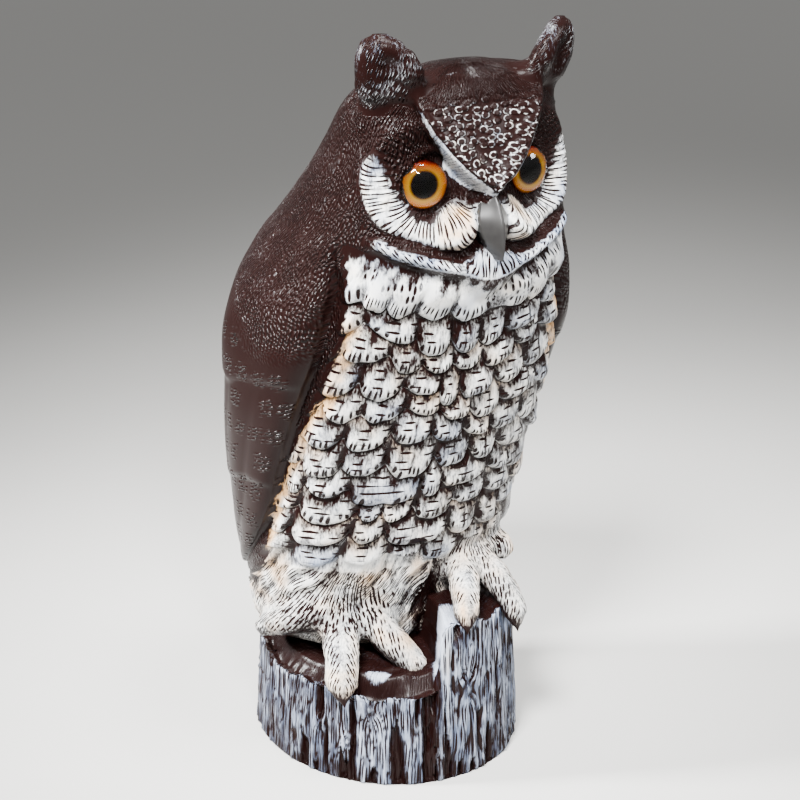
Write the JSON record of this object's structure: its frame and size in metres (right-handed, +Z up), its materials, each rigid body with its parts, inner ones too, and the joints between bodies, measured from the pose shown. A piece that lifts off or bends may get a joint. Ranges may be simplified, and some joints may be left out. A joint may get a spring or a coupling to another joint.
{
  "type": "owl decoy",
  "caption": "Great horned owl decoy with folded wings, scalloped breast feathers and domed eyes, perched on a split tree stump; stands upright on its flat underside.",
  "frame": {"origin": "middle of the stump's flat underside", "axes": "+Z up, -Y the way the owl looks, +X the owl's left"},
  "size_m": [0.2092, 0.2179, 0.457],
  "materials": {
    "painted_plastic": "dark brown moulded plastic with a satin sheen, dry-brushed in white, blue-grey and tan",
    "amber_eye": "clear polished dome over an amber iris and a black pupil"
  },
  "bodies": {
    "root": {"owl_on_stump": "painted_plastic", "right_eye": "amber_eye", "left_eye": "amber_eye"}
  },
  "joints": []
}
